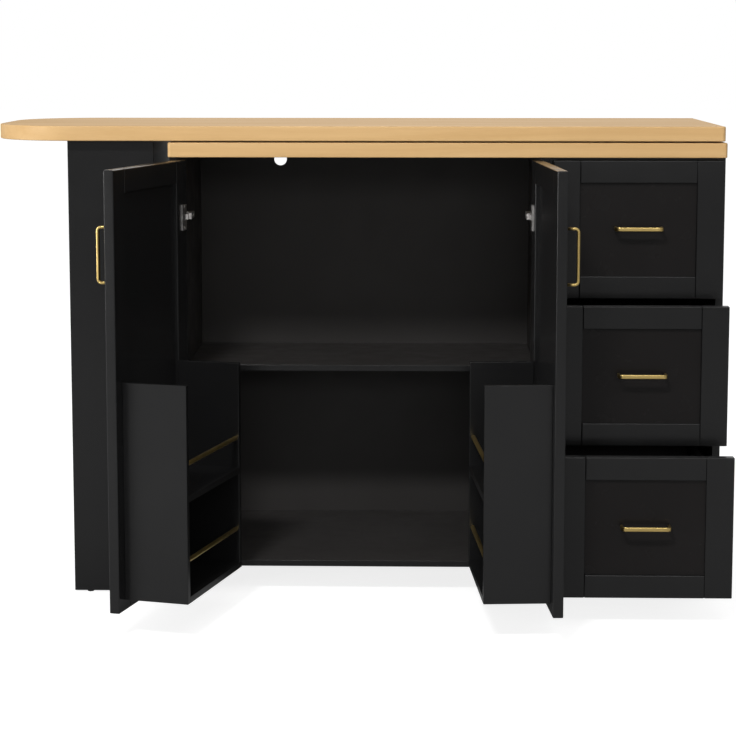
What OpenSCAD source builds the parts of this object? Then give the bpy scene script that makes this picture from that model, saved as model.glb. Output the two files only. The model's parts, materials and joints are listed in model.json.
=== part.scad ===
// Kitchen island unit: a two-door cupboard and a stack of three drawers
// under a worktop, with a longer table top above it that swivels on a
// pivot bolt and stands on its own box leg.
// Millimetres, +Z up, front towards -Y, front edges of the carcass at y = 0
// before everything is shifted to the shared origin.

/* [Tops] */
// Height of the table top above the floor
total_h = 914; // [880:1:950]
// Length of the lower worktop, equal to the width of the cabinet
worktop_len = 1062; // [1040:1:1100]
// Length of the upper table top
table_len = 1405; // [1380:1:1440]
// Depth of both tops
top_depth = 468; // [465:1:490]
// Thickness of both tops
top_t = 28; // [24:1:32]
// Gap between the two tops
top_gap = 3; // [3:0.5:5]
// How far the tops stand in front of the carcass
top_overhang = 24; // [23:1:30]
// Radius of the two rounded corners over the leg
end_r = 160; // [80:1:200]
// Radius of the square corners of the tops
corner_r = 6; // [2:1:10]

/* [Carcass] */
// Thickness of the upright panels
panel_t = 15; // [12:1:18]
// Depth of the upright panels
body_d = 440; // [430:1:444]
// Thickness of the shelf and the bottom boards
board_t = 12; // [10:1:15]
// Thickness of the back panels
back_t = 5; // [3:1:6]
// Inner width of the drawer bay
drawer_bay_w = 305; // [295:1:315]
// Height of the underside of the bottom boards
toe_h = 54; // [40:1:70]
// Height of the underside of the middle shelf
shelf_z = 421; // [410:1:440]
// Distance of the middle shelf from the front edges
shelf_setback = 126; // [124:1:140]
// Diameter of the cable hole in the left back panel
cable_hole_d = 27; // [20:1:35]

/* [Doors] */
// Opening angle of the left door as shown
left_open = 105; // [60:0.5:105]
// Opening angle of the right door as shown
right_open = 94; // [60:0.5:94]
// Thickness of doors and drawer fronts
front_t = 19; // [18:1:20]
// Width of the upright frame members
stile_w = 51; // [45:1:55]
// Height of the level frame members
rail_h = 43; // [38:1:48]
// Height of the hinges above the lower edge of a door
hinge_inset = 109; // [100:1:130]

/* [Door racks] */
// Depth of a rack from the inside of its door
rack_depth = 121.5; // [100:0.5:125]
// Thickness of the rack boards
rack_t = 12; // [9:1:12]
// Height of the underside of the lower rack shelf
rack_z = 73.5; // [70:0.5:80]
// Height of the end boards of a rack
rack_h = 396.5; // [380:0.5:400]
// Height of the underside of the upper rack shelf
rack_shelf_z = 258; // [240:1:280]
// Diameter of the guard bars
bar_d = 8; // [6:1:10]

/* [Drawers] */
// Gap between the drawer fronts
front_gap = 2; // [2:0.5:3]
// How far the middle drawer is pulled out as shown
drawer_2_out = 99; // [0:1:150]
// How far the lowest drawer is pulled out as shown
drawer_3_out = 197; // [0:1:240]
// Height of the drawer box walls
box_h = 186; // [120:1:190]
// Length of the drawer box walls
box_len = 380; // [300:1:400]

/* [Handles] */
// Overall length of a door handle
door_handle_len = 104; // [90:1:140]
// Overall length of a drawer handle
drawer_handle_len = 92; // [80:1:140]
// Width of the flat bar that the handles are bent from
handle_w = 8; // [6:1:10]
// Thickness of that bar
handle_t = 5; // [4:0.5:6]
// Distance of the outside of a handle from the front that carries it
handle_out = 25; // [22:1:32]

/* [Leg] */
// Width of the leg
leg_w = 165; // [140:1:180]
// Depth of the leg
leg_d = 420; // [380:1:440]
// Gap between the leg and the cabinet
leg_gap = 30; // [29:1:60]

/* [Hidden] */

$fn = 64;

// Tops and cabinet
half_w = worktop_len / 2;
top_y0 = -top_overhang;
top_y1 = top_depth - top_overhang;
worktop_z = total_h - 2 * top_t - top_gap;
table_z = total_h - top_t;
table_inset = 4;
table_x1 = half_w - table_inset;
table_x0 = table_x1 - table_len;
glide_h = 3;
glide_r = 6.5;
glide_inset = 30;

// Uprights: left side, two dividers back to back, right side
right_bay_x1 = half_w - panel_t;
right_bay_x0 = right_bay_x1 - drawer_bay_w;
left_bay_x0 = -half_w + panel_t;
left_bay_x1 = right_bay_x0 - 2 * panel_t;
back_y = body_d - back_t - 2;
top_rail_t = 15;
top_rail_w = 80;
front_rail_y = 6;
shelf_play = 1;
pin_r = 2.5;
pin_len = 16;
pin_in = 8;
pin_inset = 40;
pin_play = 0.05;
cable_x = -346;
cable_z = 827;

// Fronts: the inside of every front stands a little ahead of the carcass
front_play = 3;
front_y1 = -front_play;
front_y0 = front_y1 - front_t;
front_z0 = toe_h;
front_z1 = worktop_z - 5;
front_h = front_z1 - front_z0;
panel_y0 = front_y0 + 6.5;
front_panel_t = 6;
groove = 8;

// Doors: each is drawn closed with its hinge edge at u = 0, then turned
door_overlay = 4;
door_gap = 3;
left_edge_x = left_bay_x0 - door_overlay;
right_edge_x = left_bay_x1 + door_overlay;
door_w = (right_edge_x - left_edge_x - door_gap) / 2;
edge_chamfer = 2;
hinge_u = 9.5;
hinge_y = front_y1 - 12;
hinge_zs = [front_z0 + hinge_inset, front_z1 - hinge_inset];
hinge_pin_r = 1.5;
hinge_pin_half = 9;
hinge_play = 0.05;
eye_r = 2.9;
hook_t = 3;
hook_half = 5;
hook_gap = 0.7;
cup_r = 13;
cup_u = 17;
cup_depth = 16;
cup_notch_u = 3.3;
cup_pocket_half = 6;
cup_notch_half = 7;
flange_u = [8, 28.8];
flange_half = 24.5;
flange_t = 2.4;
arm_half = 6;
arm_u = [23.4, 31];
arm_y = [1, 54];
foot_y = [28, 52];
foot_t = 3;
screw_z = 17;
screw_r = 2;
screw_play = 0.05;
screw_len = 10;
screw_head_r = 3.8;
screw_head_h = 1.8;

// Racks, measured along the door from its hinge edge
rack_u = [42, door_w - 27];
bar_setback = 7;
bar_in = 6;
bar_zs = [rack_z + rack_t + 64.5, rack_shelf_z + rack_t + 56];

// Drawers
drawer_h = (front_h - 2 * front_gap) / 3;
drawer_x0 = right_bay_x0 - 8;
drawer_x1 = right_bay_x1 + 10;
drawer_zs = [for (i = [0:2]) front_z1 - (i + 1) * drawer_h - i * front_gap];
drawer_outs = [0, drawer_2_out, drawer_3_out];
wall_t = 12;
runner_w = 12.7;
box_x0 = right_bay_x0 + runner_w;
box_x1 = right_bay_x1 - runner_w;
box_lift = 32;
bottom_t = 4;
bottom_lift = 8;
bottom_in = 5;
runner_t = 1.5;
runner_flange = 9;
runner_h = 36;
runner_play = 0.6;
runner_len = 350;
runner_y = 6;
runner_lift = 60;

// Swivel: as far from the end of the table top as from its front edge
pivot_off = 264;
pivot_x = table_x1 - pivot_off;
pivot_y = top_y0 + pivot_off;
bolt_r = 8;
bolt_play = 0.05;
bolt_flange_r = 40;
bolt_flange_t = 4;
bolt_end_z = worktop_z - 20;
disc_r = 60;
disc_t = top_gap - 0.3;
nut_r = 14;
nut_h = 12;
washer_r = 22;
washer_t = 2.5;
washer_play = 0.3;

// Leg
leg_x1 = -half_w - leg_gap;
leg_x0 = leg_x1 - leg_w;
leg_side_t = 12;
cleat_w = 20;

// Handles
handle_bend_r = 9;
door_handle_u = door_w - stile_w / 2;
door_handle_z = 698;
drawer_handle_x = (drawer_x0 + drawer_x1) / 2;
drawer_handle_z = drawer_h / 2 + 3;

// The shared origin: middle of the whole unit as shown, on the floor.
// The frontmost point is the free outer or inner corner of the further
// reaching door.
function turned_y(u, y, a) =
  hinge_y - (u - hinge_u) * sin(a) + (y - hinge_y) * cos(a);
function door_front(a) =
  min(turned_y(door_w, front_y0, a), turned_y(door_w, front_y1, a));
front_most = min(door_front(left_open), door_front(right_open));
origin = [(table_x0 + half_w) / 2, (front_most + top_y1) / 2, 0];

black = [0.16, 0.16, 0.17];
wood = [0.85, 0.72, 0.55];
gold = [0.78, 0.62, 0.32];
steel = [0.75, 0.75, 0.76];
nylon = [0.30, 0.30, 0.31];

module place() {
  translate(-origin) children();
}

// A box given by its lowest and highest corners
module block(lo, hi) {
  translate(lo) cube(hi - lo);
}

// A flat outline with one radius at the left corners and one at the right
module top_outline(x0, x1, left_r, right_r) {
  difference() {
    translate([x0, top_y0]) square([x1 - x0, top_depth]);
    for (side = [0, 1]) {
      corner_cut([x0, side ? top_y1 : top_y0], [1, side ? -1 : 1], left_r);
      corner_cut([x1, side ? top_y1 : top_y0], [-1, side ? -1 : 1], right_r);
    }
  }
}

// What a rounded corner leaves out, at the corner p, reaching inwards along d
module corner_cut(p, d, r) {
  difference() {
    translate([p.x - (d.x > 0 ? 1 : r), p.y - (d.y > 0 ? 1 : r)]) square(r + 1);
    translate([p.x + d.x * r, p.y + d.y * r]) circle(r, $fn = 96);
  }
}

/* ---- Cabinet ---- */

module upright(x0) {
  block([x0, 0, glide_h], [x0 + panel_t, body_d, worktop_z]);
}

// An upright of the cupboard, bored for the shelf pins and the hinge screws
module bored_upright(x0, side) {
  difference() {
    upright(x0);
    for (y = pin_ys())
      pin_at(side == "left" ? x0 + panel_t : x0, y, pin_r + pin_play, 2 * pin_in);
    screw_shanks(side, screw_r + screw_play);
  }
}

function pin_ys() = [shelf_setback + pin_inset, back_y - pin_inset];
function pin_z() = shelf_z - pin_r;

// A short rod along X, centred on the face of a panel
module pin_at(x, y, r, len) {
  translate([x - len / 2, y, pin_z()]) rotate([0, 90, 0]) cylinder(r = r, h = len);
}

module left_side_panel() {
  color(black) bored_upright(-half_w, "left");
}

module left_divider_panel() {
  color(black) bored_upright(left_bay_x1, "right");
}

module right_divider_panel() {
  color(black) upright(left_bay_x1 + panel_t);
}

module right_side_panel() {
  color(black) upright(right_bay_x1);
}

module bottom_board() {
  color(black) block([left_bay_x0, 0, toe_h], [left_bay_x1, back_y, toe_h + board_t]);
}

module drawer_bay_board() {
  color(black) block([right_bay_x0, 0, toe_h], [right_bay_x1, back_y, toe_h + board_t]);
}

module mid_shelf() {
  color(black)
    block([left_bay_x0 + shelf_play, shelf_setback, shelf_z],
          [left_bay_x1 - shelf_play, back_y - shelf_play, shelf_z + board_t]);
}

module shelf_pins() {
  color(steel)
    for (x = [left_bay_x0, left_bay_x1])
      for (y = pin_ys())
        pin_at(x, y, pin_r, pin_len);
}

module back_board(x0, x1) {
  block([x0, back_y, toe_h], [x1, back_y + back_t, worktop_z]);
}

module left_back_panel() {
  color(black)
    difference() {
      back_board(left_bay_x0, left_bay_x1);
      translate([cable_x, back_y - 1, cable_z])
        rotate([-90, 0, 0])
          cylinder(d = cable_hole_d, h = back_t + 2);
    }
}

module right_back_panel() {
  color(black) back_board(right_bay_x0, right_bay_x1);
}

module top_rail(x0, x1, y0) {
  block([x0, y0, worktop_z - top_rail_t], [x1, y0 + top_rail_w, worktop_z]);
}

module top_rails() {
  color(black) {
    top_rail(left_bay_x0, left_bay_x1, back_y - top_rail_w);
    top_rail(right_bay_x0, right_bay_x1, back_y - top_rail_w);
    top_rail(right_bay_x0, right_bay_x1, front_rail_y);
  }
}

module worktop() {
  color(wood)
    difference() {
      translate([0, 0, worktop_z])
        linear_extrude(top_t) top_outline(-half_w, half_w, corner_r, corner_r);
      translate([pivot_x, pivot_y, worktop_z - 1])
        cylinder(r = bolt_r + bolt_play, h = top_t + 2);
    }
}

// Round nail-in glides under both ends of a board that runs front to back
module glide_pair(x, y0, y1) {
  for (y = [y0 + glide_inset, y1 - glide_inset])
    translate([x, y, 0]) cylinder(r = glide_r, h = glide_h);
}

module cabinet_glides() {
  color(nylon)
    for (x0 = [-half_w, left_bay_x1, left_bay_x1 + panel_t, right_bay_x1])
      glide_pair(x0 + panel_t / 2, 0, body_d);
}

module slip_disc() {
  color(nylon)
    translate([pivot_x, pivot_y, worktop_z + top_t])
      difference() {
        cylinder(r = disc_r, h = disc_t);
        translate([0, 0, -1]) cylinder(r = bolt_r + 1, h = disc_t + 2);
      }
}

/* ---- Hinges ---- */

// Everything inside is drawn for the left door and mirrored for the right
module at_side(side) {
  translate([side == "left" ? left_edge_x : right_edge_x, 0, 0])
    mirror([side == "left" ? 0 : 1, 0, 0]) children();
}

// A closed door, swung open about its hinge pins
module door_place(side) {
  at_side(side)
    translate([hinge_u, hinge_y, 0])
      rotate(-(side == "left" ? left_open : right_open))
        translate([-hinge_u, -hinge_y, 0]) children();
}

module hinge_arm() {
  difference() {
    union() {
      translate([hinge_u, hinge_y, -hook_half]) cylinder(r = eye_r, h = 2 * hook_half);
      block([hinge_u, hinge_y - hook_t / 2, -hook_half],
            [arm_u[0] + hook_t, hinge_y + hook_t / 2, hook_half]);
      block([arm_u[0], hinge_y - hook_t / 2, -hook_half],
            [arm_u[0] + hook_t, arm_y[0] + 1, hook_half]);
      block([arm_u[0], arm_y[0], -arm_half], [arm_u[1], arm_y[1], arm_half]);
      block([door_overlay, foot_y[0], -arm_half], [arm_u[0], foot_y[1], arm_half]);
      block([door_overlay, foot_y[0], -flange_half],
            [door_overlay + foot_t, foot_y[1], flange_half]);
    }
    translate([hinge_u, hinge_y, -hook_half - 1])
      cylinder(r = hinge_pin_r + hinge_play, h = 2 * hook_half + 2);
  }
}

module hinge_arms() {
  color(steel)
    for (side = ["left", "right"])
      difference() {
        at_side(side)
          for (z = hinge_zs)
            translate([0, 0, z]) hinge_arm();
        screw_shanks(side, screw_r + screw_play);
      }
}

module screw_places(side) {
  at_side(side)
    for (z = hinge_zs, dz = [-screw_z, screw_z])
      translate([door_overlay + foot_t, (foot_y[0] + foot_y[1]) / 2, z + dz])
        rotate([0, 90, 0]) children();
}

module screw_shanks(side, r) {
  screw_places(side)
    translate([0, 0, -screw_len - foot_t]) cylinder(r = r, h = screw_len + foot_t);
}

module hinge_screws() {
  color(steel)
    for (side = ["left", "right"]) {
      screw_shanks(side, screw_r);
      screw_places(side) cylinder(r = screw_head_r, h = screw_head_h);
    }
}

module hinge_cup() {
  difference() {
    union() {
      translate([cup_u, front_y1, 0])
        rotate([90, 0, 0]) cylinder(r = cup_r - 0.1, h = cup_depth - 0.1);
      block([flange_u[0], front_y1, -flange_half],
            [flange_u[1], front_y1 + flange_t, flange_half]);
    }
    block([0, front_y1 - cup_depth + 0.7, -cup_pocket_half],
          [arm_u[0] + hook_t + hook_gap, front_y1 + flange_t + 1, cup_pocket_half]);
    translate([hinge_u, hinge_y, -cup_r]) cylinder(r = hinge_pin_r, h = 2 * cup_r);
  }
}

module hinge_cups(side) {
  color(steel) door_place(side)
    for (z = hinge_zs)
      translate([0, 0, z]) hinge_cup();
}

module hinge_pins(side) {
  color(steel) door_place(side)
    for (z = hinge_zs)
      translate([hinge_u, hinge_y, z - hinge_pin_half])
        cylinder(r = hinge_pin_r, h = 2 * hinge_pin_half);
}

/* ---- Frame-and-panel fronts ---- */

// Four frame members round a groove, for a front of w by h with its lower
// left corner at the origin
module front_frame(w, h) {
  difference() {
    union() {
      for (x = [0, w - stile_w])
        block([x, front_y0, 0], [x + stile_w, front_y1, h]);
      for (z = [0, h - rail_h])
        block([stile_w, front_y0, z], [w - stile_w, front_y1, z + rail_h]);
    }
    front_panel(w, h);
  }
}

module front_panel(w, h) {
  block([stile_w - groove, panel_y0, rail_h - groove],
        [w - stile_w + groove, panel_y0 + front_panel_t, h - rail_h + groove]);
}

module door_frame(side) {
  color(black) door_place(side)
    difference() {
      translate([0, 0, front_z0]) front_frame(door_w, front_h);
      for (z = hinge_zs)
        cup_recess(z);
      hinge_edge_chamfer();
    }
}

module cup_recess(z) {
  translate([cup_u, front_y1 + 1, z])
    rotate([90, 0, 0]) cylinder(r = cup_r, h = cup_depth + 1);
  block([cup_notch_u, front_y1 - cup_depth, z - cup_notch_half],
        [cup_u, front_y1 + 1, z + cup_notch_half]);
}

module hinge_edge_chamfer() {
  translate([0, front_y1, front_z0 - 1])
    linear_extrude(front_h + 2)
      polygon([[-1, 1], [edge_chamfer, 1], [edge_chamfer, 0],
               [0, -edge_chamfer], [-1, -edge_chamfer]]);
}

module door_panel(side) {
  color(black) door_place(side)
    translate([0, 0, front_z0]) front_panel(door_w, front_h);
}

/* ---- Handles ---- */

// A bent flat bar standing on the plane y = 0 towards -Y, centred, along Z
module bow_handle(len) {
  translate([-handle_w / 2, 0, 0])
    rotate([90, 0, 90])
      linear_extrude(handle_w)
        difference() {
          bow_outline(handle_out, len / 2, handle_bend_r, 0);
          bow_outline(handle_out - handle_t, len / 2 - handle_t, handle_bend_r - handle_t, 1);
        }
}

// A rectangle with its two corners at x = -reach rounded
module bow_outline(reach, half, r, past) {
  difference() {
    translate([-reach, -half]) square([reach + past, 2 * half]);
    for (end = [-1, 1]) corner_cut([-reach, end * half], [1, -end], r);
  }
}

module door_handle(side) {
  color(gold) door_place(side)
    translate([door_handle_u, front_y0, door_handle_z]) bow_handle(door_handle_len);
}

/* ---- Door racks ---- */

module rack_ends(side) {
  color(black) door_place(side)
    for (u = [rack_u[0], rack_u[1] - rack_t])
      difference() {
        block([u, front_y1, rack_z], [u + rack_t, front_y1 + rack_depth, rack_z + rack_h]);
        for (z = bar_zs)
          bar_at(z, bar_d / 2);
      }
}

module rack_shelves(side) {
  color(black) door_place(side)
    for (z = [rack_z, rack_shelf_z])
      block([rack_u[0] + rack_t, front_y1, z],
            [rack_u[1] - rack_t, front_y1 + rack_depth, z + rack_t]);
}

module bar_at(z, r) {
  translate([rack_u[0] + rack_t - bar_in, front_y1 + rack_depth - bar_setback, z])
    rotate([0, 90, 0])
      cylinder(r = r, h = rack_u[1] - rack_u[0] - 2 * (rack_t - bar_in));
}

module rack_bars(side) {
  color(gold) door_place(side)
    for (z = bar_zs)
      bar_at(z, bar_d / 2);
}

/* ---- Drawers, counted from the top ---- */

module drawer_place(i) {
  translate([0, -drawer_outs[i], drawer_zs[i]]) children();
}

module drawer_frame(i) {
  color(black) drawer_place(i)
    translate([drawer_x0, 0, 0]) front_frame(drawer_x1 - drawer_x0, drawer_h);
}

module drawer_panel(i) {
  color(black) drawer_place(i)
    translate([drawer_x0, 0, 0]) front_panel(drawer_x1 - drawer_x0, drawer_h);
}

// The drawer bottom, which the walls hold in a groove
module bottom_sheet() {
  block([box_x0 + wall_t - bottom_in, front_y1, box_lift + bottom_lift],
        [box_x1 - wall_t + bottom_in, front_y1 + box_len - wall_t + bottom_in,
         box_lift + bottom_lift + bottom_t]);
}

module drawer_walls(i) {
  y1 = front_y1 + box_len;
  color(black) drawer_place(i)
    difference() {
      union() {
        for (x = [box_x0, box_x1 - wall_t])
          block([x, front_y1, box_lift], [x + wall_t, y1, box_lift + box_h]);
        block([box_x0 + wall_t, y1 - wall_t, box_lift],
              [box_x1 - wall_t, y1, box_lift + box_h]);
      }
      bottom_sheet();
    }
}

module drawer_bottom(i) {
  color(black) drawer_place(i) bottom_sheet();
}

module drawer_handle(i) {
  color(gold) drawer_place(i)
    translate([drawer_handle_x, front_y0, drawer_handle_z])
      rotate([0, 90, 0]) bow_handle(drawer_handle_len);
}

// A folded channel along Y, its web on x = 0 and its flanges towards +X
module channel(h, len) {
  for (z = [-h / 2, h / 2 - runner_t])
    block([0, 0, z], [runner_t + runner_flange, len, z + runner_t]);
  block([0, 0, -h / 2], [runner_t, len, h / 2]);
}

module drawer_runners(i) {
  inner_h = runner_h - 2 * (runner_t + runner_play);
  color(steel) drawer_place(i)
    for (end = [0, 1])
      translate([end ? box_x1 : box_x0, runner_y, box_lift + runner_lift])
        mirror([end ? 0 : 1, 0, 0]) channel(inner_h, runner_len);
}

module cabinet_runners() {
  color(steel)
    for (i = [0:2])
      for (end = [0, 1])
        translate([end ? right_bay_x1 : right_bay_x0, runner_y,
                   drawer_zs[i] + box_lift + runner_lift])
          mirror([end ? 1 : 0, 0, 0]) channel(runner_h, runner_len);
}

/* ---- Swivelling table ---- */

module table_top() {
  color(wood)
    difference() {
      translate([0, 0, table_z])
        linear_extrude(top_t) top_outline(table_x0, table_x1, end_r, corner_r);
      translate([pivot_x, pivot_y, table_z - 1])
        cylinder(r = bolt_flange_r + bolt_play, h = bolt_flange_t + 1);
    }
}

module pivot_bolt() {
  color(steel)
    translate([pivot_x, pivot_y, 0]) {
      translate([0, 0, table_z]) cylinder(r = bolt_flange_r, h = bolt_flange_t);
      translate([0, 0, bolt_end_z]) cylinder(r = bolt_r, h = table_z - bolt_end_z);
    }
}

module pivot_nut() {
  washer_z = worktop_z - washer_play - washer_t;
  color(steel)
    translate([pivot_x, pivot_y, 0])
      difference() {
        union() {
          translate([0, 0, washer_z]) cylinder(r = washer_r, h = washer_t);
          translate([0, 0, washer_z - nut_h]) cylinder(r = nut_r, h = nut_h, $fn = 6);
        }
        translate([0, 0, washer_z - nut_h - 1]) cylinder(r = bolt_r, h = nut_h + washer_t + 2);
      }
}

module leg_front_panel() {
  color(black) block([leg_x0, 0, glide_h], [leg_x1, panel_t, table_z]);
}

module leg_back_panel() {
  color(black) block([leg_x0, leg_d - panel_t, glide_h], [leg_x1, leg_d, table_z]);
}

module leg_side_panels() {
  color(black)
    for (x = [leg_x0, leg_x1 - leg_side_t])
      block([x, panel_t, glide_h], [x + leg_side_t, leg_d - panel_t, table_z]);
}

module leg_cleats() {
  color(wood)
    for (x = [leg_x0 + leg_side_t, leg_x1 - leg_side_t - cleat_w])
      block([x, panel_t, table_z - cleat_w], [x + cleat_w, leg_d - panel_t, table_z]);
}

module leg_glides() {
  color(nylon)
    for (x = [leg_x0 + glide_inset, leg_x1 - glide_inset])
      for (y = [panel_t / 2, leg_d - panel_t / 2])
        translate([x, y, 0]) cylinder(r = glide_r, h = glide_h);
}

place() left_side_panel();
place() left_divider_panel();
place() right_divider_panel();
place() right_side_panel();
place() bottom_board();
place() drawer_bay_board();
place() mid_shelf();
place() shelf_pins();
place() left_back_panel();
place() right_back_panel();
place() top_rails();
place() worktop();
place() cabinet_glides();
place() cabinet_runners();
place() hinge_arms();
place() hinge_screws();
place() slip_disc();
place() door_frame("left");  // left_door_frame
place() door_panel("left");  // left_door_panel
place() door_handle("left");  // left_door_handle
place() hinge_cups("left");  // left_hinge_cups
place() hinge_pins("left");  // left_hinge_pins
place() rack_ends("left");  // left_rack_ends
place() rack_shelves("left");  // left_rack_shelves
place() rack_bars("left");  // left_rack_bars
place() door_frame("right");  // right_door_frame
place() door_panel("right");  // right_door_panel
place() door_handle("right");  // right_door_handle
place() hinge_cups("right");  // right_hinge_cups
place() hinge_pins("right");  // right_hinge_pins
place() rack_ends("right");  // right_rack_ends
place() rack_shelves("right");  // right_rack_shelves
place() rack_bars("right");  // right_rack_bars
place() drawer_frame(0);  // drawer_1_frame
place() drawer_panel(0);  // drawer_1_panel
place() drawer_walls(0);  // drawer_1_walls
place() drawer_bottom(0);  // drawer_1_bottom
place() drawer_handle(0);  // drawer_1_handle
place() drawer_runners(0);  // drawer_1_runners
place() drawer_frame(1);  // drawer_2_frame
place() drawer_panel(1);  // drawer_2_panel
place() drawer_walls(1);  // drawer_2_walls
place() drawer_bottom(1);  // drawer_2_bottom
place() drawer_handle(1);  // drawer_2_handle
place() drawer_runners(1);  // drawer_2_runners
place() drawer_frame(2);  // drawer_3_frame
place() drawer_panel(2);  // drawer_3_panel
place() drawer_walls(2);  // drawer_3_walls
place() drawer_bottom(2);  // drawer_3_bottom
place() drawer_handle(2);  // drawer_3_handle
place() drawer_runners(2);  // drawer_3_runners
place() table_top();
place() pivot_bolt();
place() pivot_nut();
place() leg_front_panel();
place() leg_back_panel();
place() leg_side_panels();
place() leg_cleats();
place() leg_glides();
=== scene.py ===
# %% [markdown]
# # A black kitchen island with a swivelling wood top
# The real object is flat-pack furniture made with some care: painted boards, framed
# doors and drawer fronts, bent handles in a gold finish, racks inside the doors and two
# thick wood tops, the upper one turning on a bolt. Its exact shapes and joints come
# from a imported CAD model. This notebook dresses that model: it eases the edges, builds
# what repeats with Geometry Nodes, paints every surface and lights the whole.

# %% Load the frame
import bmesh
import bpy
import json
import math
from mathutils import Matrix, Vector


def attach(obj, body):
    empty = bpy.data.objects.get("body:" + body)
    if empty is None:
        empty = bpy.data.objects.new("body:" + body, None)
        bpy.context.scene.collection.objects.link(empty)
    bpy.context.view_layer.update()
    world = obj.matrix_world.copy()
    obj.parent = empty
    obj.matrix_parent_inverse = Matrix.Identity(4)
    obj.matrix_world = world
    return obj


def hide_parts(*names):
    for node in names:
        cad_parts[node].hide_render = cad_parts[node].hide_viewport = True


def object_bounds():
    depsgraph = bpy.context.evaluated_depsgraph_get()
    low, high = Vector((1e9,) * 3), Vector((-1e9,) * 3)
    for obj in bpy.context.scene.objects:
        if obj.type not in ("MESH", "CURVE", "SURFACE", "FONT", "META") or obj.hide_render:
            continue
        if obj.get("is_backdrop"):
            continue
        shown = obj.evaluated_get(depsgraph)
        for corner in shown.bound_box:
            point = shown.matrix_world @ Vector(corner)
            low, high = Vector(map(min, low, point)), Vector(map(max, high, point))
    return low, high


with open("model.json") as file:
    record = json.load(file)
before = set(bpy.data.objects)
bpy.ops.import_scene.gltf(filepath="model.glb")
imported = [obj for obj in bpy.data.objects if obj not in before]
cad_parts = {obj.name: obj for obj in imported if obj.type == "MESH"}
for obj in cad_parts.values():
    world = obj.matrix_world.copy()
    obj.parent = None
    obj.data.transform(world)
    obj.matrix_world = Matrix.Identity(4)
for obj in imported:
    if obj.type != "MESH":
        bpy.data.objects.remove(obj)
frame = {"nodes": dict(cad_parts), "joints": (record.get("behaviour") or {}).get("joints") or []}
cad_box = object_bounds()
scene = bpy.context.scene
print("size", [round(c, 4) for c in cad_box[1] - cad_box[0]])

# %% [markdown]
# ## A small way of writing node trees
# Blender's node trees can be drawn by hand or written in code. In code each node needs
# a line to make it, one to set it and one to join it. One helper does the three, so the
# recipes below stay readable. It serves materials and Geometry Nodes alike.

# %% Add a node
def add(tree, kind, feeds=None, **settings):
    """Makes a node, applies its settings and feeds its inputs with values or sockets."""
    node = tree.nodes.new(kind)
    for key, value in settings.items():
        setattr(node, key, value)
    for key, source in (feeds or {}).items():
        if isinstance(source, bpy.types.NodeSocket):
            tree.links.new(source, node.inputs[key])
        else:
            node.inputs[key].default_value = source
    return node


def blank(name):
    """A new material with its shader, and its object coordinates to build on."""
    material = bpy.data.materials.new(name)
    material.use_nodes = True
    tree = material.node_tree
    shader = tree.nodes["Principled BSDF"]
    place = add(tree, "ShaderNodeTexCoord").outputs["Object"]
    return material, tree, shader, place


def noise(tree, place, scale, detail=2.0, stretch=None):
    """A noise pattern in object space, stretched where a direction shows in the finish."""
    if stretch:
        place = add(tree, "ShaderNodeMapping", {"Vector": place, "Scale": stretch}).outputs[0]
    return add(tree, "ShaderNodeTexNoise", {
        "Vector": place, "Scale": scale, "Detail": detail}).outputs["Fac"]


def spread(tree, value, low, high, frm=(0.3, 0.7)):
    """Maps the middle of a noise to a chosen span."""
    return add(tree, "ShaderNodeMapRange", {
        "Value": value, "From Min": frm[0], "From Max": frm[1],
        "To Min": low, "To Max": high}).outputs["Result"]


def blend_colours(tree, factor, dark, light):
    """Two colours mixed by a pattern."""
    mix = add(tree, "ShaderNodeMix", {"Factor": factor}, data_type="RGBA")
    mix.inputs["A"].default_value = (*dark, 1)
    mix.inputs["B"].default_value = (*light, 1)
    return mix.outputs["Result"]


def relief(tree, shader, height, depth, strength):
    """Fine relief through the shader's normal; depth is in metres."""
    bump = add(tree, "ShaderNodeBump", {
        "Height": height, "Distance": depth, "Strength": strength})
    tree.links.new(bump.outputs["Normal"], shader.inputs["Normal"])

# %% [markdown]
# ## Satin black paint
# The boards are sprayed black. Spray paint on fibreboard is never quite flat: it has a
# fine orange peel, and its sheen drifts a little from place to place. Both are done with
# noise in object space: a fine one in the relief, a broader one in the roughness and a
# faint, very broad one in the colour. One recipe gives three paints. The frames, the leg
# and the racks are the blackest and shine most. The thin panels are a little warmer and
# duller, and darker, partly their own tone and partly painted shade for their recess. The
# boards inside are a lighter, matt charcoal, partly their own tone and partly painted
# light on the surfaces inside the cupboard.

# %% Paint
def satin_paint(name, dark, light, sheen, rough):
    """Sprayed paint between two colours, with a range of roughness."""
    material, tree, shader, place = blank(name)
    cloud = noise(tree, place, 5.0, detail=3.0)
    tint = blend_colours(tree, spread(tree, cloud, 0, 1), dark, light)
    tree.links.new(tint, shader.inputs["Base Color"])
    drift = noise(tree, place, 23.0, detail=4.0)
    tree.links.new(spread(tree, drift, rough[0], rough[1]), shader.inputs["Roughness"])
    shader.inputs["Specular IOR Level"].default_value = sheen
    peel = noise(tree, place, 450.0, detail=1.0)
    relief(tree, shader, peel, depth=0.00004, strength=0.06)
    return material


black_paint = satin_paint(
    "satin_black_paint", (0.0072, 0.0072, 0.0074), (0.0088, 0.0088, 0.0090), 0.35, (0.22, 0.25))
# Darker than the frames: partly the panels' own tone, partly painted shade for their recess.
panel_coat_with_painted_shade = satin_paint(
    "thin_panel_paint", (0.0094, 0.0082, 0.0080), (0.0114, 0.0102, 0.0100), 0.16, (0.25, 0.28))
# Lighter than the fronts: partly the boards' own tone, partly painted light for the inside of
# the cupboard.
board_coat_with_painted_light = satin_paint(
    "inside_board_paint", (0.0370, 0.0346, 0.0334), (0.0440, 0.0416, 0.0402), 0.12, (0.36, 0.46))
print("paints ready", black_paint.name, panel_coat_with_painted_shade.name, board_coat_with_painted_light.name)

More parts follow.
